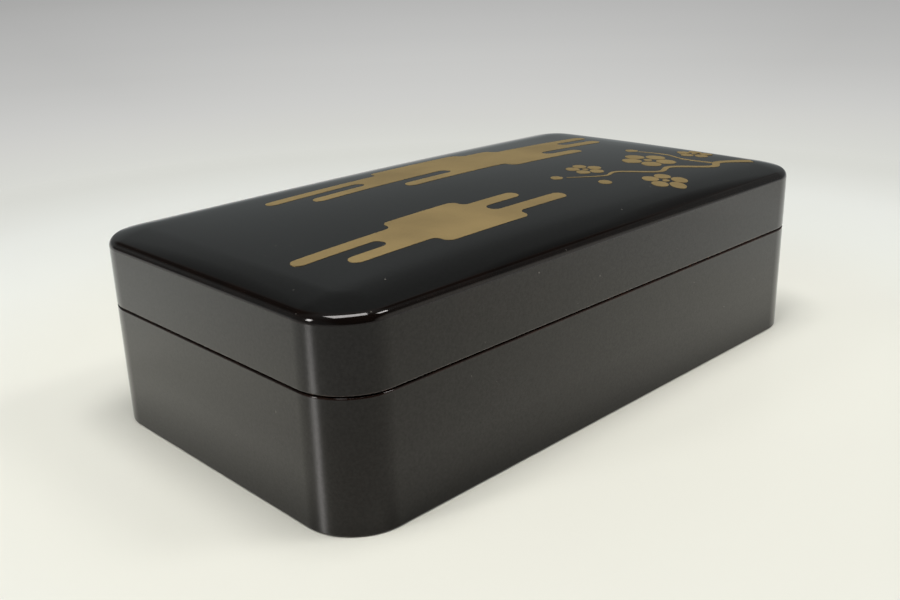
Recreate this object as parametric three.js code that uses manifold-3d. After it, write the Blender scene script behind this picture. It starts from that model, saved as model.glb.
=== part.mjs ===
// Lidded lacquer box: a wooden body and a crowned, flush-fitting lid under black lacquer.
// Millimetres, +Z up, the long side along X and the front at -Y.
// The origin is the centre of the underside, level with the foot. The lid is shown closed.
import * as THREE from 'three';
import { mergeVertices } from 'three/addons/utils/BufferGeometryUtils.js';
import Module from 'manifold-3d';

const wasm = await Module();
wasm.setup();

// Outside of the closed box; the lid's wall is measured up to the sharp edge that the rolled edge rounds
const boxLength = 272;
const boxWidth = 150;
const cornerRadius = 21;
const seamHeight = 47.8;
const lidWallHeight = 25.2;
const edgeRadius = 3.5;
const shoulderRise = 3.2;
const shoulderWidth = 21;
const crownRise = 5.4;

// Lacquered cloth and ground over the wood, the small rounding of its arrises, and the gap under it
const coat = 0.9;
const arris = 0.7;
const bedding = 0.3;

// Wooden core of the body
const wallThickness = 5.5;
const bottomThickness = 5;
const footRecess = 1.5;
const rebateDepth = 2.5;

// Rim that stands inside the body's wall and guides the lid
const rimThickness = 3;
const rimRise = 9;
const rimRounding = 1.2;
const coveRadius = 2;

// Lid; its wall's boards end a little under the rolled edge, where the top board lies on them
const lidPlay = 0.4;
const seamGap = 0.3;
const lidBoardSeat = 7;
const ceilingRise = 7;

// Tongue-and-groove joints between the straight boards and the corner posts
const tongueLength = 3;
const tongueShare = 1 / 3;

// Fineness of the curved surfaces; the shoulder's rings end at the outline that the inner rings shrink from
const cornerSteps = 8;
const longSideSteps = 8;
const shortSideSteps = 4;
const rollSteps = 4;
const arrisSteps = 3;
const shoulderSteps = 4;
const innerSteps = 5;
const innerInset = 14;

// How far a cutting solid runs past what it cuts, and the distances for slopes and for joining points
const cutPast = 1;
const slopeProbe = 0.01;
const weldDistance = 1e-4;

// Levels and insets that follow from the sizes above; an inset is measured inwards from the outline
const halfLength = boxLength / 2;
const halfWidth = boxWidth / 2;
const skin = coat + bedding;
const wallInner = skin + wallThickness;
const rebateInset = wallInner - rebateDepth;
const bottomInset = rebateInset + bedding;
const bottomLevel = footRecess + skin;
const bottomTop = bottomLevel + bottomThickness;
const floorLevel = bottomTop + skin;
const wallTop = seamHeight - skin;
const rimOuter = wallInner + bedding;
const rimInner = rimOuter + rimThickness;
const rimGuide = wallInner - coat;
const cavityInset = rimInner + skin;
const rimTop = seamHeight + rimRise;
const rimWoodTop = rimTop - skin;
const mouthLevel = seamHeight + seamGap;
const edgeLevel = seamHeight + lidWallHeight;
const lidInnerFace = rimGuide - lidPlay;
const lidWoodInner = lidInnerFace - skin;
const lidWoodFoot = mouthLevel + skin;
const lidWoodTop = edgeLevel - lidBoardSeat;
const topBoardUnder = lidWoodTop + bedding;
const shoulderSlope = Math.atan(2 * shoulderRise / shoulderWidth);
const rollEnd = edgeRadius * (1 - Math.sin(shoulderSlope));

// Colours of the finishes
const finishes = {
  lacquer: { color: 0x0d0c0b, roughness: 0.12, metalness: 0 },
  wood: { color: 0xc9a878, roughness: 0.7, metalness: 0 },
};

const box = new THREE.Group();

function addPiece(name, geometry, finish) {
  const mesh = new THREE.Mesh(geometry, new THREE.MeshStandardMaterial(finishes[finish]));
  mesh.name = name;
  box.add(mesh);
}

// Points of the rounded rectangle that lies inset from the box's outline, drawn towards its middle by scale
function outline(inset, scale = 1, alongSides = false) {
  const radius = cornerRadius - inset;
  const points = [];
  const corners = [[1, 1], [-1, 1], [-1, -1], [1, -1]];
  corners.forEach(([sideX, sideY], quarter) => {
    const centreX = sideX * (halfLength - cornerRadius);
    const centreY = sideY * (halfWidth - cornerRadius);
    for (let step = 0; step <= cornerSteps; step++) {
      const angle = (quarter + step / cornerSteps) * Math.PI / 2;
      points.push([centreX + radius * Math.cos(angle), centreY + radius * Math.sin(angle)]);
    }
    if (alongSides) addSidePoints(points, centreX, centreY, radius, quarter);
  });
  return points.map(([x, y]) => [x * scale, y * scale]);
}

// Points along the straight side that follows a corner, so that a crowned surface can curve along it
function addSidePoints(points, centreX, centreY, radius, quarter) {
  const alongX = quarter % 2 === 0;
  const steps = alongX ? longSideSteps : shortSideSteps;
  for (let step = 1; step < steps; step++) {
    const share = 1 - 2 * step / steps;
    points.push(alongX
      ? [centreX * share, centreY + radius * Math.sign(centreY)]
      : [centreX + radius * Math.sign(centreX), centreY * share]);
  }
}

// Outlines inside the shoulder, from the smallest to the full one
function innerOutlines() {
  const outlines = [];
  for (let step = 1; step <= innerSteps; step++) {
    outlines.push(outline(innerInset, step / innerSteps, true));
  }
  return outlines;
}

// Closed solid through rings of equal size; poles close its two ends, or the last ring meets the first.
// Each face between two rings is split along its shorter diagonal, so that parallel surfaces stay parallel.
function loft(rings, firstPole, lastPole) {
  const size = rings[0].length;
  const points = rings.flat();
  const apart = (from, to) => Math.hypot(...points[from].map((value, axis) => value - points[to][axis]));
  const index = [];
  const joined = firstPole ? rings.length - 1 : rings.length;
  for (let ring = 0; ring < joined; ring++) {
    const here = ring * size;
    const next = ((ring + 1) % rings.length) * size;
    for (let point = 0; point < size; point++) {
      const beside = (point + 1) % size;
      const [a, b, c, d] = [here + point, here + beside, next + beside, next + point];
      index.push(...(apart(a, c) < apart(b, d) ? [a, b, c, a, c, d] : [a, b, d, b, c, d]));
    }
  }
  if (firstPole) {
    const first = points.length;
    points.push(firstPole, lastPole);
    const last = (rings.length - 1) * size;
    for (let point = 0; point < size; point++) {
      const beside = (point + 1) % size;
      index.push(first, beside, point);
      index.push(first + 1, last + point, last + beside);
    }
  }
  const geometry = new THREE.BufferGeometry();
  geometry.setAttribute('position', new THREE.Float32BufferAttribute(points.flat(), 3));
  geometry.setIndex(index);
  return facingOut(geometry);
}

// Turns the faces round where they point into the solid
function facingOut(geometry) {
  const place = geometry.getAttribute('position');
  const index = geometry.getIndex().array;
  const corners = [new THREE.Vector3(), new THREE.Vector3(), new THREE.Vector3()];
  let volume = 0;
  for (let face = 0; face < index.length; face += 3) {
    corners.forEach((corner, k) => corner.fromBufferAttribute(place, index[face + k]));
    volume += corners[0].dot(corners[1].cross(corners[2]));
  }
  if (volume < 0) {
    for (let face = 0; face < index.length; face += 3) {
      [index[face], index[face + 1]] = [index[face + 1], index[face]];
    }
  }
  return geometry;
}

// Section that runs round the outline: each of its points is an inset and a level
function ringsOf(section, alongSides = false) {
  return section.map(([inset, level]) => outline(inset, 1, alongSides).map(([x, y]) => [x, y, level]));
}

// Quarter round in a section, turned about a centre from one angle to another
function quarterRound(inset, level, radius, from, to) {
  const points = [];
  for (let step = 0; step <= arrisSteps; step++) {
    const angle = THREE.MathUtils.degToRad(from + (to - from) * step / arrisSteps);
    points.push([inset + radius * Math.cos(angle), level + radius * Math.sin(angle)]);
  }
  return points;
}

// How far a point of the lid lies in from the box's outline
function distanceIn(x, y) {
  const overX = Math.abs(x) - (halfLength - cornerRadius);
  const overY = Math.abs(y) - (halfWidth - cornerRadius);
  const outside = Math.hypot(Math.max(overX, 0), Math.max(overY, 0));
  return cornerRadius - outside - Math.min(Math.max(overX, overY), 0);
}

// Level of the lid's top: a soft shoulder all round and a crown across
function crownLevel(x, y) {
  const share = THREE.MathUtils.clamp(distanceIn(x, y) / shoulderWidth, 0, 1);
  const acrossX = 1 - (x / halfLength) ** 2;
  const acrossY = 1 - (y / halfWidth) ** 2;
  return edgeLevel + shoulderRise * (1 - (1 - share) ** 2) + crownRise * acrossX * acrossY;
}

// Downward slope of the lid's top at a point, towards a direction
function crownFall(x, y, towardX, towardY) {
  const before = crownLevel(x - towardX * slopeProbe, y - towardY * slopeProbe);
  const after = crownLevel(x + towardX * slopeProbe, y + towardY * slopeProbe);
  return (before - after) / (2 * slopeProbe);
}

// Point at a depth under the lid's top, square to its surface
function underCrown([x, y], depth) {
  const fallX = crownFall(x, y, 1, 0);
  const fallY = crownFall(x, y, 0, 1);
  const inward = depth / Math.hypot(fallX, fallY, 1);
  return [x - fallX * inward, y - fallY * inward, crownLevel(x, y) - inward];
}

// Rings of the rolled edge at a depth under it, from the lid's top down to its wall.
// The roll is a part of a circle that touches the wall and the top, whose slope changes along a side.
function rollRings(depth) {
  const edge = outline(0, 1, true);
  const oneIn = outline(1, 1, true);
  const rings = Array.from({ length: rollSteps + 1 }, () => []);
  edge.forEach(([x, y], point) => {
    const outX = x - oneIn[point][0];
    const outY = y - oneIn[point][1];
    const slope = crownFall(x - outX * rollEnd, y - outY * rollEnd, outX, outY);
    const topAngle = Math.PI / 2 - Math.atan(slope);
    const reach = edgeRadius * (1 - Math.cos(topAngle));
    const centreLevel = crownLevel(x - outX * reach, y - outY * reach) - edgeRadius * Math.sin(topAngle);
    rings.forEach((ring, step) => {
      const angle = topAngle * (1 - step / rollSteps);
      const inset = edgeRadius - (edgeRadius - depth) * Math.cos(angle);
      const level = centreLevel + (edgeRadius - depth) * Math.sin(angle);
      ring.push([x - outX * inset, y - outY * inset, level]);
    });
  });
  return rings;
}

// Rings of the lid's crowned surface at a depth under it, from the middle out to the wall
function crownRings(depth) {
  const outlines = innerOutlines();
  for (let step = 1; step <= shoulderSteps; step++) {
    outlines.push(outline(innerInset + (edgeRadius - innerInset) * step / shoulderSteps, 1, true));
  }
  return [...outlines.map((points) => points.map((point) => underCrown(point, depth))), ...rollRings(depth)];
}

function crownPole(depth) {
  return underCrown([0, 0], depth);
}

// Turns a triangle mesh into a solid that can be cut, and back again
function toSolid(geometry) {
  const plain = geometry.clone();
  plain.deleteAttribute('normal');
  plain.deleteAttribute('uv');
  const merged = mergeVertices(plain, weldDistance);
  return new wasm.Manifold(new wasm.Mesh({
    numProp: 3,
    vertProperties: new Float32Array(merged.getAttribute('position').array),
    triVerts: new Uint32Array(merged.getIndex().array),
  }));
}

function toGeometry(solid) {
  const mesh = solid.getMesh();
  const geometry = new THREE.BufferGeometry();
  geometry.setAttribute('position', new THREE.Float32BufferAttribute(mesh.vertProperties, 3));
  geometry.setIndex(Array.from(mesh.triVerts));
  return geometry;
}

// Upright solid over a plan; an arc in the plan gets two steps for each curve segment
function raised(plan, from, to) {
  const options = { depth: to - from, bevelEnabled: false, curveSegments: cornerSteps / 2 };
  return new THREE.ExtrudeGeometry(plan, options).translate(0, 0, from);
}

// Plan of a straight board between two corner posts, with or without a tongue at each end
function boardPlan(alongX, side, outer, inner, tongue) {
  const reach = (alongX ? halfLength : halfWidth) - cornerRadius - bedding;
  const edge = alongX ? halfWidth : halfLength;
  const third = (inner - outer) * tongueShare;
  const across = [outer, outer + third, inner - third, inner].map((inset) => side * (edge - inset));
  const tip = reach + tongue;
  const points = [
    [-reach, across[0]], [reach, across[0]],
    ...(tongue ? [[reach, across[1]], [tip, across[1]], [tip, across[2]], [reach, across[2]]] : []),
    [reach, across[3]], [-reach, across[3]],
    ...(tongue ? [[-reach, across[2]], [-tip, across[2]], [-tip, across[1]], [-reach, across[1]]] : []),
  ];
  return new THREE.Shape(points.map(([along, over]) => (alongX
    ? new THREE.Vector2(along, over)
    : new THREE.Vector2(over, along))));
}

// Plan of a rounded corner piece, a quarter ring about the corner's centre
function cornerPlan(sideX, sideY, outer, inner) {
  const centreX = sideX * (halfLength - cornerRadius);
  const centreY = sideY * (halfWidth - cornerRadius);
  const middle = Math.atan2(sideY, sideX);
  const from = middle - Math.PI / 4;
  const to = middle + Math.PI / 4;
  const shape = new THREE.Shape();
  shape.absarc(centreX, centreY, cornerRadius - outer, from, to, false);
  shape.absarc(centreX, centreY, cornerRadius - inner, to, from, true);
  return shape;
}

const straightSides = [
  { name: 'front', alongX: true, side: -1 },
  { name: 'back', alongX: true, side: 1 },
  { name: 'left', alongX: false, side: -1 },
  { name: 'right', alongX: false, side: 1 },
];
const roundCorners = [
  { name: 'front_left', sideX: -1, sideY: -1 },
  { name: 'front_right', sideX: 1, sideY: -1 },
  { name: 'back_left', sideX: -1, sideY: 1 },
  { name: 'back_right', sideX: 1, sideY: 1 },
];

// Grooves that the tongues of all four boards sit in, grown by the joint's bedding
function tongueGrooves(outer, inner, from, to) {
  const third = (inner - outer) * tongueShare;
  const grown = [outer + third - bedding, inner - third + bedding];
  const solids = straightSides.map(({ alongX, side }) => {
    const along = (alongX ? halfLength : halfWidth) - cornerRadius + tongueLength;
    const edge = alongX ? halfWidth : halfLength;
    const thickness = grown[1] - grown[0];
    const centre = side * (edge - (grown[0] + grown[1]) / 2);
    const groove = alongX
      ? new THREE.BoxGeometry(2 * along, thickness, to - from)
      : new THREE.BoxGeometry(thickness, 2 * along, to - from);
    return toSolid(groove.translate(alongX ? 0 : centre, alongX ? centre : 0, (from + to) / 2));
  });
  return solids.reduce((sum, solid) => sum.add(solid));
}

// A frame of four boards and four corner posts, tongued together and rebated for what it holds
function addFrame(prefix, outer, inner, from, to, rebate) {
  const grooves = tongueGrooves(outer, inner, from - cutPast, to + cutPast);
  for (const { name, alongX, side } of straightSides) {
    const board = toSolid(raised(boardPlan(alongX, side, outer, inner, tongueLength), from, to));
    addPiece(`${prefix}_${name}_board`, toGeometry(rebate ? board.subtract(rebate) : board), 'wood');
  }
  for (const { name, sideX, sideY } of roundCorners) {
    const post = toSolid(raised(cornerPlan(sideX, sideY, outer, inner), from, to)).subtract(grooves);
    addPiece(`${prefix}_${name}_post`, toGeometry(rebate ? post.subtract(rebate) : post), 'wood');
  }
}

// Body: the frame, and the bottom board let into its rebate
function addBody() {
  const rebateRings = ringsOf([[rebateInset, 0], [rebateInset, bottomTop + bedding]]);
  const rebate = toSolid(loft(rebateRings, [0, 0, 0], [0, 0, bottomTop + bedding]));
  addFrame('body', skin, wallInner, skin, wallTop, rebate);
  const bottom = ringsOf([[bottomInset, bottomLevel], [bottomInset, bottomTop]]);
  addPiece('body_bottom_board', loft(bottom, [0, 0, bottomLevel], [0, 0, bottomTop]), 'wood');
}

// Rim lining: straight strips and bent corners, standing on the bottom board and above the seam
function addRim() {
  const foot = bottomTop + bedding;
  for (const { name, alongX, side } of straightSides) {
    const strip = raised(boardPlan(alongX, side, rimOuter, rimInner, 0), foot, rimWoodTop);
    addPiece(`rim_${name}_strip`, toGeometry(toSolid(strip)), 'wood');
  }
  for (const { name, sideX, sideY } of roundCorners) {
    const bend = raised(cornerPlan(sideX, sideY, rimOuter, rimInner), foot, rimWoodTop);
    addPiece(`rim_${name}_bend`, toGeometry(toSolid(bend)), 'wood');
  }
}

// Lacquer on the body's outside, over the shoulder that the lid rests on
function addBodyOuterCoat() {
  const shoulderEnd = rimGuide - bedding;
  const section = [
    [0, skin],
    ...quarterRound(arris, seamHeight - arris, arris, 180, 90),
    [shoulderEnd, seamHeight],
    [shoulderEnd, seamHeight - coat],
    [coat, seamHeight - coat],
    [coat, skin],
  ];
  addPiece('body_outer_coat', loft(ringsOf(section)), 'lacquer');
}

// Lacquer on the underside, with the narrow foot that the box stands on
function addBodyBaseCoat() {
  const footInner = bottomInset + coat;
  const plateTop = footRecess + coat;
  const section = [
    [footInner, footRecess],
    [footInner, 0],
    ...quarterRound(arris, arris, arris, 270, 180),
    [0, coat],
    [bottomInset, coat],
    [bottomInset, plateTop],
  ];
  addPiece('body_base_coat', loft(ringsOf(section), [0, 0, footRecess], [0, 0, plateTop]), 'lacquer');
}

// Lacquer on the floor and walls inside, over the rim and down its outer face to the shoulder
function addBodyInnerCoat() {
  const legFoot = wallTop + bedding;
  const section = [
    ...quarterRound(cavityInset + coveRadius, floorLevel + coveRadius, coveRadius, 270, 180),
    ...quarterRound(cavityInset - rimRounding, rimTop - rimRounding, rimRounding, 0, 90),
    ...quarterRound(rimGuide + rimRounding, rimTop - rimRounding, rimRounding, 90, 180),
    [rimGuide, legFoot],
    [wallInner, legFoot],
    [wallInner, rimTop - coat],
    [rimInner + bedding, rimTop - coat],
    [rimInner + bedding, floorLevel - coat],
  ];
  const poles = [[0, 0, floorLevel], [0, 0, floorLevel - coat]];
  addPiece('body_inner_coat', loft(ringsOf(section), ...poles), 'lacquer');
}

// Hollow under the lid: a shallow crown inside the walls
function ceilingHeight(x, y) {
  const acrossX = 1 - (x / (halfLength - lidInnerFace)) ** 2;
  const acrossY = 1 - (y / (halfWidth - lidInnerFace)) ** 2;
  return ceilingRise * acrossX * acrossY;
}

// Rings of the hollow over a level, from the walls in to the middle
function ceilingRings(level) {
  const lift = ([x, y]) => [x, y, level + ceilingHeight(x, y)];
  return innerOutlines().reverse().map((points) => points.map(lift));
}

function ceilingPole(level) {
  return [0, 0, level + ceilingRise];
}

// Lid: the frame, and the crowned top board that lies on it, hollowed underneath
function addLid() {
  addFrame('lid', skin, lidWoodInner, lidWoodFoot, lidWoodTop, null);
  const seat = ringsOf([[skin, topBoardUnder], [lidInnerFace + coat, topBoardUnder]], true);
  const rings = [...crownRings(skin), ...seat, ...ceilingRings(topBoardUnder)];
  addPiece('lid_top_board', loft(rings, crownPole(skin), ceilingPole(topBoardUnder)), 'wood');
}

// Lacquer on the lid's outside, round the mouth and over the rolled edge and the crown
function addLidOuterCoat() {
  const mouth = ringsOf([
    ...quarterRound(arris, mouthLevel + arris, arris, 180, 270),
    [lidWoodInner, mouthLevel],
    [lidWoodInner, mouthLevel + coat],
    [coat, mouthLevel + coat],
  ], true);
  const rings = [...crownRings(0), ...mouth, ...crownRings(coat).reverse()];
  addPiece('lid_outer_coat', loft(rings, crownPole(0), crownPole(coat)), 'lacquer');
}

// Lacquer on the lid's inside walls and ceiling
function addLidInnerCoat() {
  const ceiling = topBoardUnder - bedding;
  const back = lidInnerFace - coat;
  const section = ringsOf([
    [lidInnerFace + coat, ceiling],
    [back, ceiling],
    [back, mouthLevel],
    [lidInnerFace, mouthLevel],
    [lidInnerFace, ceiling - coat],
    [lidInnerFace + coat, ceiling - coat],
  ], true);
  const above = ceilingRings(ceiling).reverse();
  const below = ceilingRings(ceiling - coat);
  const poles = [ceilingPole(ceiling), ceilingPole(ceiling - coat)];
  addPiece('lid_inner_coat', loft([...above, ...section, ...below], ...poles), 'lacquer');
}

addBody();
addRim();
addBodyBaseCoat();
addBodyOuterCoat();
addBodyInnerCoat();
addLid();
addLidOuterCoat();
addLidInnerCoat();

export default box;
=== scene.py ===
"""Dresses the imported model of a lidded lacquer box: polished black skins over the wooden core, and gold
mist bands with plum blossoms on the crowned lid. Metres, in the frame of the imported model."""
import math

import bmesh
import bpy
from mathutils import Matrix, Vector


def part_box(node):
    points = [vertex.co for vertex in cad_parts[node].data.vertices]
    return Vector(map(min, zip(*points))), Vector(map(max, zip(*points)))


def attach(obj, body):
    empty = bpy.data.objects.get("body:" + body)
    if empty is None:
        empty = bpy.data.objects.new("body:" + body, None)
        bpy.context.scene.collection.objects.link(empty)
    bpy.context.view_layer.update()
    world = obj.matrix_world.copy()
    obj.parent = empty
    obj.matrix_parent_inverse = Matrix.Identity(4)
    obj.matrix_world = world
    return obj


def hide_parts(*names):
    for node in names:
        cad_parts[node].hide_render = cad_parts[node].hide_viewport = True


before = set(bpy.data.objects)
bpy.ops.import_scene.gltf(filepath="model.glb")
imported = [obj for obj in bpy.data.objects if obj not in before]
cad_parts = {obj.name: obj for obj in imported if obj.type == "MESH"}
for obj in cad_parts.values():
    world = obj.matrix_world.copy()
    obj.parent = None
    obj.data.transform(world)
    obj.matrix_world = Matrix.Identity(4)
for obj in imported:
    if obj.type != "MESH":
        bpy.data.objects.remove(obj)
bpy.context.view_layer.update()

bl_info = {
    "name": "Lacquer Box",
    "version": (1, 0, 0),
    "blender": (4, 5, 0),
    "location": "3D Viewport > Sidebar > Lacquer Box",
    "description": "Makes the lacquer skins, the gold decoration and the studio of a lidded box",
    "category": "Object",
}

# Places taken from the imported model
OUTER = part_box("body_outer_coat")
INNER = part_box("body_inner_coat")
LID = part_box("lid_outer_coat")
LID_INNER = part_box("lid_inner_coat")
FLOOR_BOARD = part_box("body_bottom_board")
RIM_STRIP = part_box("rim_front_strip")
HALF_LENGTH = OUTER[1][0]
HALF_WIDTH = OUTER[1][1]
SEAM = OUTER[1][2]
RIM_TOP = INNER[1][2]
RIM_GUIDE = HALF_LENGTH - INNER[1][0]
MOUTH = LID[0][2]
LID_TOP = LID[1][2]

# Tolerances for finding levels and rings in a mesh, and the step over which a slope is taken
SAME_LEVEL = 1e-6
RING_LEVEL = 1e-5
RING_INSET = 1e-4
SLOPE_STEP = 0.00001

# Rings and cuts that carry the lid's curves
LONG_CUTS = 39
SHORT_CUTS = 19
ROLL_ANGLES = range(6, 73, 6)
SHOULDER_INSETS = [0.0030, 0.0040, 0.0053, 0.0068, 0.0085, 0.0105, 0.0128, 0.0154]
CROWN_SCALES = (0.93, 0.85, 0.77, 0.68, 0.59, 0.49, 0.38, 0.26, 0.13)
CEILING_MARGIN = 0.004
CEILING_SCALES = (0.9, 0.75, 0.6, 0.45, 0.3, 0.15)
RIM_STEPS = 6

# Wear: an arris is narrow and turns at least so far, and it is rubbed more towards the right end
WIDEST_ARRIS = 0.0009
LEAST_TURN = math.radians(12)
ARRIS_WEAR = 0.33
WEAR_FROM = -0.01
WEAR_SPAN = 0.06
ROLL_WEAR = 0.06
ROLL_SHARE = 0.8

# A wall that faces this far off the box's axes counts as round, or as flat
ROUND_FROM = math.cos(math.radians(20))
FLAT_FROM = math.cos(math.radians(8))

# Gold: how far it stands over the lacquer and reaches into it, and the cells that follow the crown
GOLD_LIFT = 0.00010
GOLD_SINK = 0.00025
GOLD_CELL = 0.004
CELL_SHIFT = 0.137
PETALS = 5
PETAL_SHARE = 0.55
HEART_SHARE = 0.24

# Colours of what lies on the finishes, and the black of the shadow painted on the table
DUST = (0.16, 0.15, 0.13, 1)
POWDER_GAP = (0.03, 0.018, 0.01, 1)
STAIN = (0.72, 0.67, 0.66, 1)
PAINTED_SHADOW = (0, 0, 0, 1)
DARK_RING = 0.62

# Table: its size, two directions over it, and its colour by the distance from the box, which paints the
# light's falloff into grey far away
TABLE_REACH = 5.0
TABLE_HALF = 6
TABLE_AHEAD = (0.69, 0.72, 0)
TABLE_ASIDE = (0.56, -0.83, 0)
TABLE_PAINTED_FALLOFF = (
    (0.00, (0.79, 0.773, 0.678)), (0.20, (0.79, 0.780, 0.697)), (0.28, (0.82, 0.825, 0.766)),
    (0.36, (0.82, 0.826, 0.778)), (0.47, (0.71, 0.715, 0.670)), (0.56, (0.67, 0.675, 0.640)),
    (0.66, (0.64, 0.640, 0.615)), (0.79, (0.60, 0.600, 0.585)), (0.95, (0.56, 0.560, 0.548)),
    (1.16, (0.52, 0.520, 0.510)), (1.60, (0.48, 0.480, 0.473)), (2.30, (0.445, 0.445, 0.440)),
    (3.60, (0.40, 0.400, 0.395)), (4.90, (0.38, 0.380, 0.380)),
)
# Painted light: the table's glow and the camera's horizon are brighter towards this side
ASIDE_SPAN = (0.86, 0.96)
ASIDE_GAIN = 1.6
HORIZON = TABLE_PAINTED_FALLOFF[-1][1] + (1,)
HORIZON_ASIDE = tuple(ASIDE_GAIN * channel for channel in TABLE_PAINTED_FALLOFF[-1][1]) + (1,)

SENSOR_WIDTH = 36
NEAREST_SEEN = 0.01
STUDIO_RED = 0.93

WOOD_NODES = [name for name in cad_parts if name.endswith(("_board", "_post", "_strip", "_bend"))]


class LacquerBoxSizes(bpy.types.PropertyGroup):
    """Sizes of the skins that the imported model's boxes don't give by themselves"""
    corner_radius: bpy.props.FloatProperty(
        name="Corner radius", description="Plan radius of the four upright corners",
        default=0.021, min=0.01, unit="LENGTH")
    corner_segments: bpy.props.IntProperty(
        name="Corner segments", description="Faces round each upright corner", default=28, min=4)
    arris: bpy.props.FloatProperty(
        name="Arris", description="Rounding of the seam's and the foot's edges",
        default=0.0007, unit="LENGTH")
    edge_radius: bpy.props.FloatProperty(
        name="Rolled edge", description="Radius where the lid's wall turns into its top",
        default=0.0035, unit="LENGTH")
    shoulder_rise: bpy.props.FloatProperty(
        name="Shoulder rise", description="Height of the soft shoulder round the lid's top",
        default=0.0032, unit="LENGTH")
    shoulder_width: bpy.props.FloatProperty(
        name="Shoulder width", description="Width of the soft shoulder", default=0.021, unit="LENGTH")
    crown_rise: bpy.props.FloatProperty(
        name="Crown rise", description="Height of the crown over the shoulder", default=0.0054, unit="LENGTH")
    coat: bpy.props.FloatProperty(
        name="Coat", description="Thickness of the lacquered cloth and ground", default=0.0009, unit="LENGTH")
    bedding: bpy.props.FloatProperty(
        name="Bedding", description="Gap between the coat and the wood", default=0.0003, unit="LENGTH")
    rim_rounding: bpy.props.FloatProperty(
        name="Rim rounding", description="Rounding of the standing rim's edges",
        default=0.0012, unit="LENGTH")
    cove_radius: bpy.props.FloatProperty(
        name="Cove", description="Hollow rounding between floor and walls inside",
        default=0.002, unit="LENGTH")
    foot_recess: bpy.props.FloatProperty(
        name="Foot recess", description="How far the underside lies above the foot",
        default=0.0015, unit="LENGTH")
    ceiling_rise: bpy.props.FloatProperty(
        name="Ceiling rise", description="Hollow of the lid's ceiling", default=0.007, unit="LENGTH")


class LacquerBoxFinish(bpy.types.PropertyGroup):
    """Colours and gloss of the finishes"""
    black: bpy.props.FloatVectorProperty(
        name="Black", description="Body colour of the black lacquer", subtype="COLOR", size=4,
        default=(0.0020, 0.0017, 0.0015, 1))
    umber: bpy.props.FloatVectorProperty(
        name="Umber", description="Warm brown where the lacquer is rubbed thin on the arrises",
        subtype="COLOR", size=4, default=(0.036, 0.0144, 0.0084, 1))
    sheen: bpy.props.FloatVectorProperty(
        name="Sheen", description="Warm tint that the lacquer gives to what it mirrors",
        subtype="COLOR", size=4, default=(1, 0.96, 0.94, 1))
    gold: bpy.props.FloatVectorProperty(
        name="Gold", description="Gold powder", subtype="COLOR", size=4, default=(0.325, 0.236, 0.103, 1))
    dark_gold: bpy.props.FloatVectorProperty(
        name="Dark gold", description="Thinly sprinkled gold powder", subtype="COLOR", size=4,
        default=(0.262, 0.190, 0.084, 1))
    wood: bpy.props.FloatVectorProperty(
        name="Wood", description="Planed wood of the core", subtype="COLOR", size=4,
        default=(0.55, 0.38, 0.2, 1))


class LacquerBoxView(bpy.types.PropertyGroup):
    """The photograph's view"""
    azimuth: bpy.props.FloatProperty(
        name="Azimuth", description="Turn of the camera about the box", subtype="ANGLE",
        default=math.radians(-43.98))
    elevation: bpy.props.FloatProperty(
        name="Elevation", description="Height angle of the camera", subtype="ANGLE",
        default=math.radians(19.55))
    roll: bpy.props.FloatProperty(
        name="Roll", description="Tilt of the camera about its own axis", subtype="ANGLE",
        default=math.radians(-1.674))
    distance: bpy.props.FloatProperty(
        name="Distance", description="From the camera to the point that it looks at",
        default=0.4424, unit="LENGTH")
    aim: bpy.props.FloatVectorProperty(
        name="Aim", description="Point that the camera looks at", subtype="TRANSLATION", size=3,
        default=(-0.00675, 0.01192, 0.02688))
    lens: bpy.props.FloatProperty(
        name="Lens", description="Focal length on a 36 mm wide sensor", default=40.51)


def sizes():
    return bpy.context.scene.lacquer_box_sizes


def finish():
    return bpy.context.scene.lacquer_box_finish


# Mesh helpers

def new_piece(name, bm, material, body, smooth=True):
    """Turns a bmesh into a piece that rides on a body"""
    mesh = bpy.data.meshes.new(name)
    bm.to_mesh(mesh)
    bm.free()
    piece = bpy.data.objects.new(name, mesh)
    bpy.context.collection.objects.link(piece)
    mesh.materials.append(material)
    if smooth:
        mesh.shade_smooth()
    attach(piece, body)
    return piece


def lies_level(edge):
    return abs(edge.verts[0].co.z - edge.verts[1].co.z) < SAME_LEVEL


def clamped(value):
    return min(max(value, 0.0), 1.0)


def rounded_prism(low, high, segments):
    """Upright prism over the box's rounded outline"""
    bm = bmesh.new()
    bmesh.ops.create_cube(bm, size=1)
    bmesh.ops.scale(bm, vec=(2 * HALF_LENGTH, 2 * HALF_WIDTH, high - low), verts=bm.verts)
    bmesh.ops.translate(bm, vec=(0, 0, (low + high) / 2), verts=bm.verts)
    upright = [edge for edge in bm.edges if not lies_level(edge)]
    bmesh.ops.bevel(bm, geom=upright, offset=sizes().corner_radius, offset_type="OFFSET", segments=segments,
                    profile=0.5, affect="EDGES", material=-1)
    return bm


def cap(bm, top):
    """The flat face that closes the prism at its top or its bottom"""
    flat = [face for face in bm.faces if abs(face.normal.z) > 0.99]
    return max(flat, key=lambda face: face.calc_center_median().z * (1 if top else -1))


def draw_in(bm, face, inset):
    """Insets a cap evenly and leaves it flat"""
    bmesh.ops.inset_region(bm, faces=[face], thickness=inset, depth=0,
                           use_even_offset=True, use_boundary=True)
    return face


def push(bm, face, height, scale=1.0):
    """Extrudes a cap upright, or towards its middle"""
    made = bmesh.ops.extrude_face_region(bm, geom=[face])["geom"]
    bmesh.ops.delete(bm, geom=[face], context="FACES_ONLY")
    verts = [item for item in made if isinstance(item, bmesh.types.BMVert)]
    bmesh.ops.translate(bm, vec=(0, 0, height), verts=verts)
    bmesh.ops.scale(bm, vec=(scale, scale, 1), verts=verts)
    return next(item for item in made if isinstance(item, bmesh.types.BMFace))


def taper(bm, face, scales):
    """Draws a cap in towards its middle ring by ring, and closes it with a fan"""
    last = 1.0
    for scale in scales:
        face = push(bm, face, 0, scale / last)
        last = scale
    bmesh.ops.poke(bm, faces=[face])


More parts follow.
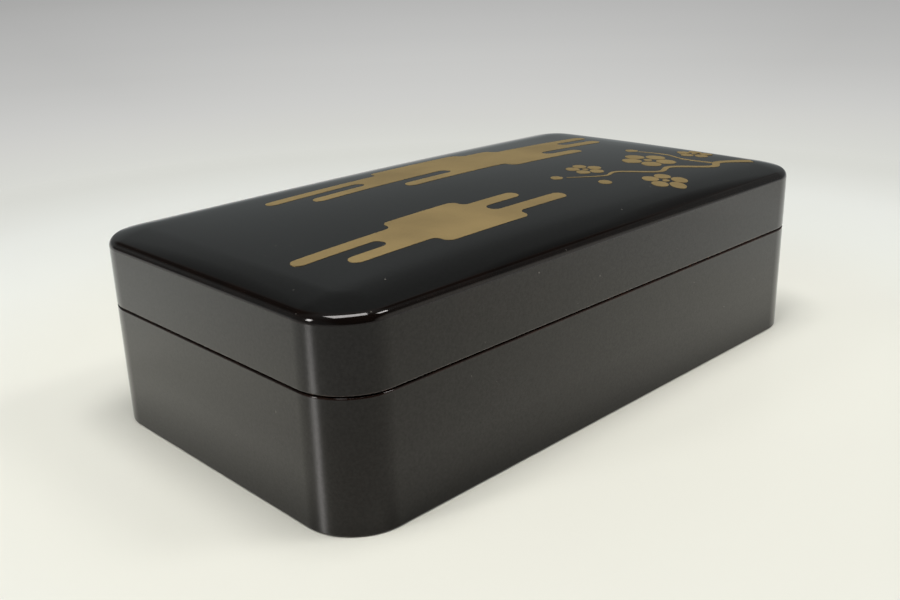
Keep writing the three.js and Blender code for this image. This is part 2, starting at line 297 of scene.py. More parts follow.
def distance_in(x, y):
    """How far a point lies in from the box's rounded outline"""
    radius = sizes().corner_radius
    over_x = abs(x) - (HALF_LENGTH - radius)
    over_y = abs(y) - (HALF_WIDTH - radius)
    outside = math.hypot(max(over_x, 0), max(over_y, 0))
    return radius - outside - min(max(over_x, over_y), 0)


def ring_edges(bm, level, inset):
    """Edges of the ring that lies at a level and an inset from the outline"""
    ring = {vert for vert in bm.verts
            if abs(vert.co.z - level) < RING_LEVEL
            and abs(distance_in(vert.co.x, vert.co.y) - inset) < RING_INSET}
    return [edge for edge in bm.edges if ring.issuperset(edge.verts)]


def soften(bm, level, inset, radius, segments=4):
    """Rounds the ring at a level and an inset"""
    edges = ring_edges(bm, level, inset)
    if not edges:
        raise RuntimeError(f"no ring at level {level:.4f}, inset {inset:.4f}")
    bmesh.ops.bevel(bm, geom=edges, offset=radius, offset_type="OFFSET", segments=segments, profile=0.5,
                    affect="EDGES", material=-1)


def outward(x, y):
    """Direction from a point straight out to the box's rounded outline"""
    over_x = abs(x) - (HALF_LENGTH - sizes().corner_radius)
    over_y = abs(y) - (HALF_WIDTH - sizes().corner_radius)
    if over_x > 0 and over_y > 0:
        return Vector((math.copysign(over_x, x), math.copysign(over_y, y))).normalized()
    if over_x > over_y:
        return Vector((math.copysign(1, x), 0))
    return Vector((0, math.copysign(1, y)))


def dome(x, y, inset=0.0):
    """Share of a crown's full rise: 1 in the middle, 0 at the sides"""
    across_x = max(0.0, 1 - (x / (HALF_LENGTH - inset)) ** 2)
    across_y = max(0.0, 1 - (y / (HALF_WIDTH - inset)) ** 2)
    return across_x * across_y


def top_rise(x, y):
    """Rise of the lid's top over its sharp edge: a soft shoulder all round and a crown across"""
    s = sizes()
    share = clamped(distance_in(x, y) / s.shoulder_width)
    return s.shoulder_rise * (1 - (1 - share) ** 2) + s.crown_rise * dome(x, y)


def crown(x, y):
    """Rise of the lid's top with its rolled edge, part of a circle that touches the wall and the top"""
    s = sizes()
    away = distance_in(x, y)
    if away >= s.edge_radius:
        return top_rise(x, y)
    here, out = Vector((x, y)), outward(x, y)
    shoulder = 2 * s.shoulder_rise / s.shoulder_width
    near_touch = here + out * (away - s.edge_radius * (1 - shoulder / math.hypot(1, shoulder)))
    probe = out * SLOPE_STEP
    slope = (top_rise(*(near_touch - probe)) - top_rise(*(near_touch + probe))) / (2 * probe.length)
    steep = math.hypot(1, slope)
    reach = s.edge_radius * (1 - slope / steep)
    if away >= reach:
        return top_rise(x, y)
    centre = top_rise(*(here + out * (away - reach))) - s.edge_radius / steep
    return centre + math.sqrt(max(0.0, s.edge_radius ** 2 - (s.edge_radius - max(away, 0.0)) ** 2))


def edge_level():
    """Height of the sharp edge that the lid would have without its roll"""
    return LID_TOP - crown(0, 0)


def roll_level():
    """Height at which the lid's wall turns into its rolled edge"""
    return edge_level() + crown(HALF_LENGTH, 0)


# Shader helpers

def fresh_material(name):
    material = bpy.data.materials.new(name)
    material.use_nodes = True
    nodes = material.node_tree.nodes
    return material, nodes, material.node_tree.links, nodes["Principled BSDF"]


def node_group(name, inputs, outputs):
    """Shader group with named inputs and outputs"""
    group = bpy.data.node_groups.new(name, "ShaderNodeTree")
    for label, kind, default in inputs:
        socket = group.interface.new_socket(label, in_out="INPUT", socket_type=kind)
        socket.default_value = default
    for label, kind in outputs:
        group.interface.new_socket(label, in_out="OUTPUT", socket_type=kind)
    return group, group.nodes.new("NodeGroupInput"), group.nodes.new("NodeGroupOutput")


def place(nodes, kind, **values):
    node = nodes.new(kind)
    for key, value in values.items():
        if key in node.inputs:
            node.inputs[key].default_value = value
        else:
            setattr(node, key, value)
    return node


def object_coordinates(nodes):
    return nodes.new("ShaderNodeTexCoord").outputs["Object"]


def noise(nodes, links, source, scale, detail=3.0, roughness=0.5):
    texture = place(nodes, "ShaderNodeTexNoise")
    texture.inputs["Scale"].default_value = scale
    texture.inputs["Detail"].default_value = detail
    texture.inputs["Roughness"].default_value = roughness
    links.new(source, texture.inputs["Vector"])
    return texture.outputs["Fac"]


def remap(nodes, links, source, low, high, to_low=0.0, to_high=1.0):
    node = nodes.new("ShaderNodeMapRange")
    node.clamp = True
    node.inputs["From Min"].default_value = low
    node.inputs["From Max"].default_value = high
    node.inputs["To Min"].default_value = to_low
    node.inputs["To Max"].default_value = to_high
    links.new(source, node.inputs["Value"])
    return node.outputs["Result"]


def feed(links, value, socket):
    """Links a socket to another one, or writes a plain value into it"""
    if isinstance(value, bpy.types.NodeSocket):
        links.new(value, socket)
    else:
        socket.default_value = value


def mixed(nodes, links, factor, first, second):
    node = nodes.new("ShaderNodeMix")
    node.data_type = "RGBA"
    links.new(factor, node.inputs["Factor"])
    feed(links, first, node.inputs["A"])
    feed(links, second, node.inputs["B"])
    return node.outputs["Result"]


def computed(nodes, links, operation, *values):
    node = place(nodes, "ShaderNodeMath", operation=operation)
    for socket, value in zip(node.inputs, values):
        feed(links, value, socket)
    return node.outputs[0]


def alignment(nodes, links, source, direction):
    """Dot product of a unit vector with a fixed direction"""
    node = place(nodes, "ShaderNodeVectorMath", operation="DOT_PRODUCT")
    links.new(source, node.inputs[0])
    node.inputs[1].default_value = direction
    return node.outputs["Value"]


def attribute(nodes, name):
    node = nodes.new("ShaderNodeAttribute")
    node.attribute_name = name
    return node.outputs["Fac"]


def add_bump(nodes, links, shader, height, strength, distance):
    bump = place(nodes, "ShaderNodeBump")
    bump.inputs["Strength"].default_value = strength
    bump.inputs["Distance"].default_value = distance
    links.new(height, bump.inputs["Height"])
    links.new(bump.outputs["Normal"], shader.inputs["Normal"])


def set_stops(ramp_node, stops):
    """Writes the stops of a colour ramp and gives its colour back"""
    ramp = ramp_node.color_ramp
    ramp.elements[0].position, ramp.elements[0].color = stops[0]
    ramp.elements[1].position, ramp.elements[1].color = stops[-1]
    for position, color in stops[1:-1]:
        ramp.elements.new(position).color = color
    return ramp_node.outputs["Color"]


def handling_group():
    """Fine dust, hairlines and finger haze, as masks over the surface"""
    group, entry, leave = node_group(
        "handling",
        [("Vector", "NodeSocketVector", (0, 0, 0))],
        [("Specks", "NodeSocketFloat"), ("Haze", "NodeSocketFloat"), ("Hairlines", "NodeSocketFloat")])
    nodes, links = group.nodes, group.links
    vector = entry.outputs["Vector"]
    specks = place(nodes, "ShaderNodeTexVoronoi")
    specks.inputs["Scale"].default_value = 190
    links.new(vector, specks.inputs["Vector"])
    dots = remap(nodes, links, specks.outputs["Distance"], 0.03, 0.075, 1, 0)
    sparse = remap(nodes, links, noise(nodes, links, vector, 60, 2), 0.56, 0.64)
    links.new(computed(nodes, links, "MULTIPLY", dots, sparse), leave.inputs["Specks"])
    links.new(noise(nodes, links, vector, 22, 4, 0.6), leave.inputs["Haze"])
    stretched = place(nodes, "ShaderNodeMapping")
    stretched.inputs["Rotation"].default_value = (0.3, 0.2, 0.5)
    stretched.inputs["Scale"].default_value = (18, 900, 900)
    links.new(vector, stretched.inputs["Vector"])
    lines = noise(nodes, links, stretched.outputs["Vector"], 1, 1)
    links.new(remap(nodes, links, lines, 0.66, 0.72), leave.inputs["Hairlines"])
    return group


def lacquer_material():
    """Polished black lacquer, warm where it is rubbed thin, with a little dust and finger haze"""
    material, nodes, links, shader = fresh_material("black_lacquer")
    vector = object_coordinates(nodes)
    handling = nodes.new("ShaderNodeGroup")
    handling.node_tree = bpy.data.node_groups["handling"]
    links.new(vector, handling.inputs["Vector"])
    patchy = remap(nodes, links, noise(nodes, links, vector, 90, 3, 0.6), 0.35, 0.65, 0.6, 1.3)
    rubbed = computed(nodes, links, "MULTIPLY", attribute(nodes, "rubbed"), patchy)
    tone = mixed(nodes, links, rubbed, tuple(finish().black), tuple(finish().umber))
    links.new(mixed(nodes, links, handling.outputs["Specks"], tone, DUST), shader.inputs["Base Color"])
    gloss = remap(nodes, links, handling.outputs["Haze"], 0.35, 0.75, 0.045, 0.085)
    worn = computed(nodes, links, "MULTIPLY_ADD", handling.outputs["Hairlines"], 0.05, gloss)
    links.new(worn, shader.inputs["Roughness"])
    add_bump(nodes, links, shader, noise(nodes, links, vector, 28, 2), 0.12, 0.0002)
    # The index rises towards grazing views, so that the walls mirror more when seen flat
    facing = place(nodes, "ShaderNodeLayerWeight")
    facing.inputs["Blend"].default_value = 0.5
    grazing = remap(nodes, links, facing.outputs["Facing"], 0, 0.62, 0, 0.62)
    steeper = computed(nodes, links, "POWER", grazing, 3)
    links.new(computed(nodes, links, "MULTIPLY_ADD", steeper, 1.4, 1.39), shader.inputs["IOR"])
    shader.inputs["Specular Tint"].default_value = tuple(finish().sheen)
    # Flat walls mirror less over their lowest part, and a fine mottle breaks the gloss everywhere
    height = place(nodes, "ShaderNodeSeparateXYZ")
    links.new(vector, height.inputs[0])
    near_foot = remap(nodes, links, height.outputs["Z"], 0.003, 0.022, -0.42, 0)
    foot_dimming = computed(nodes, links, "MULTIPLY", attribute(nodes, "flat_wall"), near_foot)
    glossy = computed(nodes, links, "ADD", foot_dimming, 1)
    mottle = remap(nodes, links, noise(nodes, links, vector, 950, 3, 0.65), 0.3, 0.7, 0.43, 0.57)
    links.new(computed(nodes, links, "MULTIPLY", glossy, mottle), shader.inputs["Specular IOR Level"])
    return material


def gold_material():
    """Gold powder set in lacquer: matt, with a grain that glints and tones that drift"""
    material, nodes, links, shader = fresh_material("gold_powder")
    vector = object_coordinates(nodes)
    drift = remap(nodes, links, noise(nodes, links, vector, 26, 3, 0.6), 0.38, 0.66)
    tone = mixed(nodes, links, drift, tuple(finish().gold), tuple(finish().dark_gold))
    grain = noise(nodes, links, vector, 5200, 2, 0.7)
    gaps = remap(nodes, links, grain, 0.60, 0.72, 0, 0.55)
    links.new(mixed(nodes, links, gaps, tone, POWDER_GAP), shader.inputs["Base Color"])
    links.new(remap(nodes, links, grain, 0.3, 0.7, 0.5, 0.7), shader.inputs["Roughness"])
    add_bump(nodes, links, shader, grain, 0.35, 0.00004)
    shader.inputs["Metallic"].default_value = 0.8
    return material


def wood_material():
    """Planed softwood with growth rings"""
    material, nodes, links, shader = fresh_material("planed_wood")
    vector = object_coordinates(nodes)
    stretched = place(nodes, "ShaderNodeMapping")
    stretched.inputs["Scale"].default_value = (6, 160, 160)
    links.new(vector, stretched.inputs["Vector"])
    rings = noise(nodes, links, stretched.outputs["Vector"], 1, 4, 0.6)
    light = tuple(finish().wood)
    dark = tuple(channel * DARK_RING for channel in light[:3]) + (1,)
    band = remap(nodes, links, rings, 0.4, 0.6)
    links.new(mixed(nodes, links, band, light, dark), shader.inputs["Base Color"])
    links.new(remap(nodes, links, band, 0, 1, 0.55, 0.7), shader.inputs["Roughness"])
    add_bump(nodes, links, shader, band, 0.2, 0.0002)
    return material


def floor_material():
    """Pale table cover: it takes the box's real shadow near the box; a painted shadow darkens it towards the
    camera side, and its colour paints the light's falloff into grey far behind
    """
    material, nodes, links, shader = fresh_material("pale_table")
    vector = object_coordinates(nodes)
    length = place(nodes, "ShaderNodeVectorMath", operation="LENGTH")
    links.new(vector, length.inputs[0])
    away = length.outputs["Value"]
    fall = nodes.new("ShaderNodeValToRGB")
    links.new(remap(nodes, links, away, 0, TABLE_REACH), fall.inputs["Fac"])
    tone = set_stops(fall, [(distance / TABLE_REACH, color + (1,)) for distance, color in TABLE_PAINTED_FALLOFF])
    toward = place(nodes, "ShaderNodeVectorMath", operation="NORMALIZE")
    links.new(vector, toward.inputs[0])
    ahead = alignment(nodes, links, toward.outputs["Vector"], TABLE_AHEAD)
    aside = alignment(nodes, links, toward.outputs["Vector"], TABLE_ASIDE)
    stain = remap(nodes, links, noise(nodes, links, vector, 7, 4, 0.6), 0.52, 0.75, 0, 0.10)
    cloth = mixed(nodes, links, stain, tone, STAIN)
    # Painted shadow: the table's colour is darkened towards the camera side of the box
    painted_shadow_share = remap(nodes, links, ahead, -1, 0.4, 0.16, 0.02)
    links.new(mixed(nodes, links, painted_shadow_share, cloth, PAINTED_SHADOW), shader.inputs["Base Color"])
    shader.inputs["Roughness"].default_value = 0.33
    shader.inputs["IOR"].default_value = 1.6

    # Far from the box the table glows with its tone, to the camera and in mirrors: painted light, a little
    # paler far straight ahead and brighter aside
    painted_glow = nodes.new("ShaderNodeEmission")
    links.new(tone, painted_glow.inputs["Color"])
    straight_ahead = remap(nodes, links, ahead, 0.90, 1.0)
    paler = remap(nodes, links, away, 0.65, 1.2, 0, 0.11)
    gain = remap(nodes, links, aside, *ASIDE_SPAN, 1, ASIDE_GAIN)
    strength = computed(nodes, links, "MULTIPLY_ADD", straight_ahead, paler, gain)
    links.new(strength, painted_glow.inputs["Strength"])
    rays = nodes.new("ShaderNodeLightPath")
    seen = computed(nodes, links, "MAXIMUM", rays.outputs["Is Camera Ray"], rays.outputs["Is Glossy Ray"])
    share = computed(nodes, links, "MULTIPLY", seen, remap(nodes, links, away, 0.33, 0.52))
    blend = nodes.new("ShaderNodeMixShader")
    links.new(share, blend.inputs["Fac"])
    links.new(shader.outputs["BSDF"], blend.inputs[1])
    links.new(painted_glow.outputs["Emission"], blend.inputs[2])
    links.new(blend.outputs["Shader"], nodes["Material Output"].inputs["Surface"])
    return material


# Pieces

def mark_rubbed(piece):
    """Marks where lacquer is rubbed thin and brown: the arrises, and a little on the roll"""
    mesh = piece.data
    rubbed = mesh.attributes.new("rubbed", "FLOAT", "POINT")
    bm = bmesh.new()
    bm.from_mesh(mesh)
    roll_from = roll_level()
    roll_within = ROLL_SHARE * sizes().edge_radius
    for vert in bm.verts:
        turn = max(edge.calc_face_angle(0) for edge in vert.link_edges)
        width = max(face.calc_area() / max(edge.calc_length() for edge in face.edges)
                    for face in vert.link_faces)
        if turn > LEAST_TURN and width < WIDEST_ARRIS:
            to_the_right = clamped((vert.co.x - WEAR_FROM) / WEAR_SPAN)
            rubbed.data[vert.index].value = ARRIS_WEAR + (1 - ARRIS_WEAR) * to_the_right
        elif vert.co.z > roll_from and distance_in(vert.co.x, vert.co.y) < roll_within:
            rubbed.data[vert.index].value = ROLL_WEAR
    bm.free()


def mark_flats(piece):
    """Marks the flat walls, which mirror less near the foot"""
    flat = piece.data.attributes.new("flat_wall", "FLOAT", "POINT")
    for vert in piece.data.vertices:
        across = max(abs(part) for part in outward(vert.co.x, vert.co.y))
        flat.data[vert.index].value = clamped((across - ROUND_FROM) / (FLAT_FROM - ROUND_FROM))


class LACQUER_OT_body(bpy.types.Operator):
    """Makes the body's lacquer skin: walls, shoulder, standing rim, floor and foot"""
    bl_idname = "lacquer_box.body"
    bl_label = "Body skin"

    def execute(self, context):
        s = sizes()
        floor_level = FLOOR_BOARD[1][2] + s.bedding + s.coat
        cavity = HALF_WIDTH + RIM_STRIP[1][1] + s.bedding + s.coat
        foot_width = HALF_LENGTH - FLOOR_BOARD[1][0] + s.coat
        bm = rounded_prism(0, SEAM, s.corner_segments)
        top = push(bm, draw_in(bm, cap(bm, True), RIM_GUIDE), RIM_TOP - SEAM)
        push(bm, draw_in(bm, top, cavity - RIM_GUIDE), floor_level - RIM_TOP)
        push(bm, draw_in(bm, cap(bm, False), foot_width), s.foot_recess)
        soften(bm, 0, 0, s.arris)
        soften(bm, SEAM, 0, s.arris)
        soften(bm, RIM_TOP, RIM_GUIDE, s.rim_rounding, RIM_STEPS)
        soften(bm, RIM_TOP, cavity, s.rim_rounding, RIM_STEPS)
        soften(bm, floor_level, cavity, s.cove_radius, RIM_STEPS)
        bmesh.ops.recalc_face_normals(bm, faces=bm.faces)
        skin = new_piece("body_lacquer", bm, bpy.data.materials["black_lacquer"], "body")
        mark_rubbed(skin)
        mark_flats(skin)
        skin.modifiers.new("even_walls", "WEIGHTED_NORMAL").keep_sharp = False
        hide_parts("body_outer_coat", "body_inner_coat", "body_base_coat")
        return {"FINISHED"}


class LACQUER_OT_lid(bpy.types.Operator):
    """Makes the lid's lacquer skin: walls, rolled edge, crown, mouth and ceiling"""
    bl_idname = "lacquer_box.lid"
    bl_label = "Lid skin"

    def execute(self, context):
        s = sizes()
        inner_face = HALF_LENGTH - LID_INNER[1][0] + s.coat
        ceiling = LID_INNER[1][2] - s.ceiling_rise - s.coat
        bm = rounded_prism(MOUTH, roll_level(), s.corner_segments)
        self.divide_sides(bm)
        top = cap(bm, True)
        reach = 0.0
        for inset in self.ring_insets():
            draw_in(bm, top, inset - reach)
            reach = inset
        taper(bm, top, CROWN_SCALES)
        base, flat_level = edge_level(), roll_level() - SAME_LEVEL
        for vert in bm.verts:
            if vert.co.z > flat_level:
                vert.co.z = base + crown(vert.co.x, vert.co.y)
        under = push(bm, draw_in(bm, cap(bm, False), inner_face), ceiling - MOUTH)
        self.hollow(bm, under, ceiling, inner_face)
        soften(bm, MOUTH, 0, s.arris)
        soften(bm, MOUTH, inner_face, s.arris)
        bmesh.ops.recalc_face_normals(bm, faces=bm.faces)
        skin = new_piece("lid_lacquer", bm, bpy.data.materials["black_lacquer"], "lid")
        mark_rubbed(skin)
        skin.modifiers.new("even_walls", "WEIGHTED_NORMAL").keep_sharp = False
        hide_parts("lid_outer_coat", "lid_inner_coat")
        return {"FINISHED"}

    @staticmethod
    def divide_sides(bm):
        """Cuts the straight sides, so that the crown can curve along them"""
        bmesh.ops.delete(bm, geom=[cap(bm, True), cap(bm, False)], context="FACES_ONLY")
        level = [edge for edge in bm.edges if lies_level(edge)]
        long_edges = [edge for edge in level if edge.calc_length() > HALF_LENGTH]
        short_edges = [edge for edge in level if HALF_WIDTH < edge.calc_length() < HALF_LENGTH]
        bmesh.ops.subdivide_edges(bm, edges=long_edges, cuts=LONG_CUTS, use_grid_fill=True)
        bmesh.ops.subdivide_edges(bm, edges=short_edges, cuts=SHORT_CUTS, use_grid_fill=True)
        bmesh.ops.holes_fill(bm, edges=bm.edges[:], sides=0)

    @staticmethod
    def ring_insets():
        """Insets of the rings over the roll, at even angles, and over the shoulder"""
        radius = sizes().edge_radius
        return [radius * (1 - math.cos(math.radians(angle))) for angle in ROLL_ANGLES] + SHOULDER_INSETS

    @staticmethod
    def hollow(bm, face, level, inner_face):
        """Lifts the ceiling into its shallow crown"""
        taper(bm, draw_in(bm, face, CEILING_MARGIN), CEILING_SCALES)
        for vert in bm.verts:
            if abs(vert.co.z - level) < SAME_LEVEL:
                vert.co.z = level + sizes().ceiling_rise * dome(vert.co.x, vert.co.y, inner_face)


# Decoration: outlines on the lid's plan, laid over the crown

def arc(centre, radius, start, end, steps):
    """Points of an arc, in degrees"""
    points = []
    for step in range(steps + 1):
        angle = math.radians(start + (end - start) * step / steps)
        points.append((centre[0] + radius * math.cos(angle), centre[1] + radius * math.sin(angle)))
    return points


def circle(centre, radius, count):
    """Points of a circle, each once"""
    return arc(centre, radius, 0, 360 - 360 / count, count - 1)


def mist_side(ends, bottom, height):
    """One side of a mist bank: rounded fingers and rounded notches, going up row by row"""
    points = []
    half = height / 2
    for row, end in enumerate(ends):
        below = ends[row - 1] if row else -math.inf
        above = ends[row + 1] if row + 1 < len(ends) else -math.inf
        middle = bottom + row * height + half
        if below < end:
            points += arc((end - half, middle), half, -90, 0, 8)
        else:
            points += arc((end + half, middle), half, 270, 180, 8)
        if above < end:
            points += arc((end - half, middle), half, 0, 90, 8)[1:]
        else:
            points += arc((end + half, middle), half, 180, 90, 8)[1:]
    return points


def mist_outline(rows, bottom, height):
    """Closed outline of a mist bank, from the left and right end of each row, bottom row first"""
    right = mist_side([row[1] for row in rows], bottom, height)
    left = mist_side([-row[0] for row in rows], bottom, height)
    return right + [(-x, y) for x, y in reversed(left)]


def lay_on_lid(bm, outline):
    """Fills an outline, cuts it into cells, lays it over the crown and gives it thickness"""
    flat = bmesh.new()
    face = flat.faces.new([flat.verts.new((x, y, 0)) for x, y in outline])
    face.normal_update()
    bmesh.ops.triangulate(flat, faces=[face])
    for axis, half in ((0, HALF_LENGTH), (1, HALF_WIDTH)):
        count = int(half / GOLD_CELL)
        low = min(v.co[axis] for v in flat.verts)
        high = max(v.co[axis] for v in flat.verts)
        for step in range(-count, count + 1):
            cut = (step + CELL_SHIFT) * GOLD_CELL
            if low < cut < high:
                middle, normal = Vector((0, 0, 0)), Vector((0, 0, 0))
                middle[axis], normal[axis] = cut, 1
                geom = flat.verts[:] + flat.edges[:] + flat.faces[:]
                bmesh.ops.bisect_plane(flat, geom=geom, dist=SAME_LEVEL, plane_co=middle, plane_no=normal)
    base = edge_level()
    for vert in flat.verts:
        vert.co.z = base + crown(vert.co.x, vert.co.y) + GOLD_LIFT
    bmesh.ops.recalc_face_normals(flat, faces=flat.faces)
    if sum(face.normal.z for face in flat.faces) < 0:
        bmesh.ops.reverse_faces(flat, faces=flat.faces)
    under = bmesh.ops.extrude_face_region(flat, geom=flat.faces[:], use_keep_orig=True)["geom"]
    verts = [item for item in under if isinstance(item, bmesh.types.BMVert)]
    bmesh.ops.translate(flat, vec=(0, 0, -GOLD_LIFT - GOLD_SINK), verts=verts)
    bmesh.ops.recalc_face_normals(flat, faces=flat.faces)
    mesh = bpy.data.meshes.new("outline")
    flat.to_mesh(mesh)
    flat.free()
    bm.from_mesh(mesh)
    bpy.data.meshes.remove(mesh)


class LACQUER_OT_mist(bpy.types.Operator):
    """Lays two banks of gold mist over the lid"""
    bl_idname = "lacquer_box.mist"
    bl_label = "Gold mist"

    row_height: bpy.props.FloatProperty(name="Row height", description="Height of one finger of mist",
                                        default=0.0062, unit="LENGTH")

    def execute(self, context):
        far_bank = [(0.030, 0.078), (-0.026, 0.060), (0.004, 0.108), (-0.064, 0.086), (-0.034, 0.112),
                    (-0.078, 0.050), (-0.018, 0.034)]
        near_bank = [(-0.066, -0.024), (-0.102, 0.006), (-0.082, -0.030), (-0.116, -0.008), (-0.070, -0.034)]
        bm = bmesh.new()
        for bank, bottom in ((far_bank, 0.006), (near_bank, -0.0500)):
            lay_on_lid(bm, mist_outline(bank, bottom, self.row_height))
        new_piece("gold_mist", bm, bpy.data.materials["gold_powder"], "lid", smooth=False)
        return {"FINISHED"}


def stroke_outline(points, steps=6):
    """Outline of a brush stroke through points given as x, y and width"""
    middle = []
    for index in range(len(points) - 1):
        around = [Vector(points[min(max(index + k, 0), len(points) - 1)]) for k in (-1, 0, 1, 2)]
        for step in range(steps):
            t = step / steps
            middle.append(0.5 * (2 * around[1] + (around[2] - around[0]) * t
                                 + (2 * around[0] - 5 * around[1] + 4 * around[2] - around[3]) * t ** 2
                                 + (3 * around[1] - around[0] - 3 * around[2] + around[3]) * t ** 3))
    middle.append(Vector(points[-1]))
    left, right = [], []
    for index, here in enumerate(middle):
        along = middle[min(index + 1, len(middle) - 1)] - middle[max(index - 1, 0)]
        across = Vector((-along.y, along.x)).normalized() * here.z / 2
        left.append((here.x + across.x, here.y + across.y))
        right.append((here.x - across.x, here.y - across.y))
    return right + left[::-1]


class LACQUER_OT_plum(bpy.types.Operator):
    """Draws a gold plum branch with round-petalled blossoms and buds"""
    bl_idname = "lacquer_box.plum"
    bl_label = "Gold plum"

    def execute(self, context):
        bm = bmesh.new()
        branch = ((0.119, -0.058, 0.0042), (0.104, -0.050, 0.0036), (0.094, -0.053, 0.0030),
                  (0.078, -0.042, 0.0026), (0.066, -0.044, 0.0021), (0.051, -0.033, 0.0017),
                  (0.041, -0.034, 0.0012), (0.026, -0.026, 0.0006))
        lay_on_lid(bm, stroke_outline(branch))
        twig = ((0.1005, -0.0487, 0.0020), (0.097, -0.036, 0.0015),
                (0.100, -0.024, 0.0011), (0.096, -0.012, 0.0006))
        lay_on_lid(bm, stroke_outline(twig))
        for x, y, radius, turn in ((0.0815, -0.0275, 0.0125, 10), (0.0560, -0.0545, 0.0100, 48),
                                   (0.1125, -0.0320, 0.0085, 30), (0.0440, -0.0215, 0.0085, 66)):
            self.blossom(bm, x, y, radius, turn)
        for x, y, radius in ((0.0955, -0.0085, 0.0030), (0.0225, -0.0235, 0.0026), (0.0330, -0.0405, 0.0029)):
            lay_on_lid(bm, circle((x, y), radius, 24))
        new_piece("gold_plum", bm, bpy.data.materials["gold_powder"], "lid", smooth=False)
        return {"FINISHED"}

    @staticmethod
    def blossom(bm, x, y, radius, turn):
        """Five petals round a small heart"""
        reach = radius / (1 + PETAL_SHARE)
        petal = reach * PETAL_SHARE
        for index in range(PETALS):
            angle = math.radians(turn + index * 360 / PETALS)
            centre = (x + reach * math.cos(angle), y + reach * math.sin(angle))
            lay_on_lid(bm, circle(centre, petal, 36))
        lay_on_lid(bm, circle((x, y), reach * HEART_SHARE, 18))


class LACQUER_OT_core(bpy.types.Operator):
    """Gives the wooden core its wood"""
    bl_idname = "lacquer_box.core"
    bl_label = "Wooden core"

    def execute(self, context):
        for name in WOOD_NODES:
            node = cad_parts[name]
            node.data.materials.clear()
            node.data.materials.append(bpy.data.materials["planed_wood"])
        return {"FINISHED"}


class LACQUER_OT_materials(bpy.types.Operator):
    """Makes the finishes"""
    bl_idname = "lacquer_box.materials"
    bl_label = "Finishes"

    def execute(self, context):
        handling_group()
        lacquer_material()
        gold_material()
        wood_material()
        return {"FINISHED"}


class LACQUER_OT_stage(bpy.types.Operator):
    """Sets the camera, the pale table and the soft studio light"""
    bl_idname = "lacquer_box.stage"
    bl_label = "Studio"

    def execute(self, context):
        scene = context.scene
        scene.view_settings.view_transform = "Standard"
        self.camera(scene)
        self.table()
        self.world(scene)
        for name, place_at, along, size, power, lights_table in LAMPS:
            self.lamp(name, Vector(place_at), Vector(along), size, power).visible_diffuse = lights_table
        return {"FINISHED"}

    @staticmethod
    def camera(scene):
        view = scene.lacquer_box_view
        turn = (Matrix.Rotation(view.azimuth, 3, "Z")
                @ Matrix.Rotation(math.pi / 2 - view.elevation, 3, "X")
                @ Matrix.Rotation(view.roll, 3, "Z"))
        data = bpy.data.cameras.new("camera")
        data.sensor_width = SENSOR_WIDTH
        data.lens = view.lens
        data.clip_start = NEAREST_SEEN
        camera = bpy.data.objects.new("camera", data)
        camera.matrix_world = Matrix.LocRotScale(
            Vector(view.aim) + turn @ Vector((0, 0, view.distance)), turn.to_quaternion(), None)
        bpy.context.collection.objects.link(camera)
        scene.camera = camera

    @staticmethod
    def table():
        bm = bmesh.new()
        bmesh.ops.create_grid(bm, x_segments=2, y_segments=2, size=TABLE_HALF)
        mesh = bpy.data.meshes.new("table")
        bm.to_mesh(mesh)
        bm.free()
        mesh.materials.append(floor_material())
        table = bpy.data.objects.new("table", mesh)
        bpy.context.collection.objects.link(table)

    @staticmethod
    def world(scene):
        """Studio round the box: a tone by height, and patches that are darker or paler"""
        world = bpy.data.worlds.new("studio")
        world.use_nodes = True
        nodes, links = world.node_tree.nodes, world.node_tree.links
        direction = nodes.new("ShaderNodeTexCoord").outputs["Generated"]
        split = nodes.new("ShaderNodeSeparateXYZ")
        links.new(direction, split.inputs[0])
        walls = nodes.new("ShaderNodeValToRGB")
        links.new(split.outputs["Z"], walls.inputs["Fac"])
        tone = set_stops(walls, [(math.sin(math.radians(height)), (grey * STUDIO_RED, grey, grey, 1))
                                 for height, grey in WALL_TONES])
        for azimuth, elevation, full, gone, color in WALL_PATCHES:
            turn, height = math.radians(azimuth), math.radians(elevation)
            middle = Vector((math.cos(turn) * math.cos(height), math.sin(turn) * math.cos(height),
                             math.sin(height)))
            share = remap(nodes, links, alignment(nodes, links, direction, middle),
                          math.cos(math.radians(gone)), math.cos(math.radians(full)))
            tone = mixed(nodes, links, share, tone, color + (1,))
        # The camera sees a grey horizon instead, painted brighter aside like the table's glow
        aside = remap(nodes, links, alignment(nodes, links, direction, TABLE_ASIDE), *ASIDE_SPAN)
        horizon = mixed(nodes, links, aside, HORIZON, HORIZON_ASIDE)
        rays = nodes.new("ShaderNodeLightPath")
        links.new(mixed(nodes, links, rays.outputs["Is Camera Ray"], tone, horizon),
                  nodes["Background"].inputs["Color"])
        scene.world = world

    @staticmethod
    def lamp(name, place_at, along, size, power):
        """Softbox that faces the box, with its long side along a direction"""
        data = bpy.data.lights.new(name, "AREA")
        data.shape = "RECTANGLE"
        data.size, data.size_y = size
        data.energy = power
        lamp = bpy.data.objects.new(name, data)
        back = (place_at - Vector((0, 0, LID_TOP / 2))).normalized()
        side = (along - along.project(back)).normalized()
        turn = Matrix((side, back.cross(side), back)).transposed()
        lamp.matrix_world = Matrix.LocRotScale(place_at, turn.to_quaternion(), None)
        bpy.context.collection.objects.link(lamp)
        return lamp


# Height in degrees and grey of the studio walls
WALL_TONES = (
    (0, 0.38), (3, 0.24), (6, 0.19), (25, 0.17), (31, 0.135), (40, 0.12), (50, 0.15), (60, 0.22), (90, 0.33),
)
# Azimuth, elevation, full within, gone beyond (all in degrees) and colour
WALL_PATCHES = (
    (-105, 35, 36, 58, (0.025, 0.025, 0.025)),
    (97, 40, 11, 24, (0.018, 0.018, 0.018)),
    (9, 46, 8, 14, (0.018, 0.018, 0.018)),
    (14, 31, 2, 7, (0.06, 0.06, 0.06)),
    (116, 2, 4, 13, (0.08, 0.08, 0.08)),
    (-57, 3, 15, 27, (0.86, 0.85, 0.79)),
)
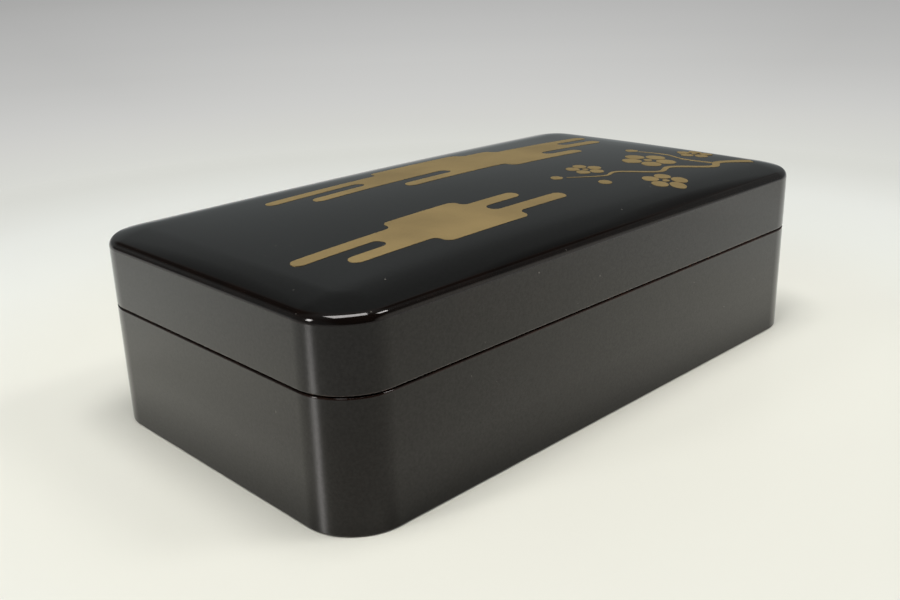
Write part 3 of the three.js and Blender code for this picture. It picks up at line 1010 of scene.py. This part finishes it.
# Name, place, direction of the long side, size, power, and whether it lights the table
LAMPS = (
    ("softbox_over", (-0.17, -0.125, 1.48), (0.94, -0.34, 0), (1.0, 0.62), 24.5, True),
    ("softbox_right", (0.569, -0.644, 1.18), (0.85, 0.416, -0.316), (0.34, 0.22), 4.2, True),
    ("softbox_left", (-1.262, 0.265, 0.62), (0, 0, 1), (0.34, 0.20), 4.0, True),
    ("softbox_left_glow", (-1.262, 0.265, 0.62), (0, 0, 1), (0.34, 0.20), 13.0, False),
)

STEPS = ("materials", "stage", "core", "body", "lid", "mist", "plum")


class LACQUER_PT_panel(bpy.types.Panel):
    """Lists the box's sizes, finishes and steps"""
    bl_idname = "LACQUER_PT_panel"
    bl_label = "Lacquer Box"
    bl_space_type = "VIEW_3D"
    bl_region_type = "UI"
    bl_category = "Lacquer Box"

    def draw(self, context):
        for step in STEPS:
            self.layout.operator(f"lacquer_box.{step}")
        for group in (context.scene.lacquer_box_sizes, context.scene.lacquer_box_finish):
            box = self.layout.box()
            for name in group.__annotations__:
                box.prop(group, name)


CLASSES = (
    LacquerBoxSizes, LacquerBoxFinish, LacquerBoxView, LACQUER_OT_materials, LACQUER_OT_stage,
    LACQUER_OT_core, LACQUER_OT_body, LACQUER_OT_lid, LACQUER_OT_mist, LACQUER_OT_plum, LACQUER_PT_panel,
)


def register():
    for item in CLASSES:
        bpy.utils.register_class(item)
    bpy.types.Scene.lacquer_box_sizes = bpy.props.PointerProperty(type=LacquerBoxSizes)
    bpy.types.Scene.lacquer_box_finish = bpy.props.PointerProperty(type=LacquerBoxFinish)
    bpy.types.Scene.lacquer_box_view = bpy.props.PointerProperty(type=LacquerBoxView)


def unregister():
    del bpy.types.Scene.lacquer_box_view
    del bpy.types.Scene.lacquer_box_finish
    del bpy.types.Scene.lacquer_box_sizes
    for item in reversed(CLASSES):
        bpy.utils.unregister_class(item)


def main():
    register()
    for step in STEPS:
        getattr(bpy.ops.lacquer_box, step)()


if __name__ == "__main__":
    main()
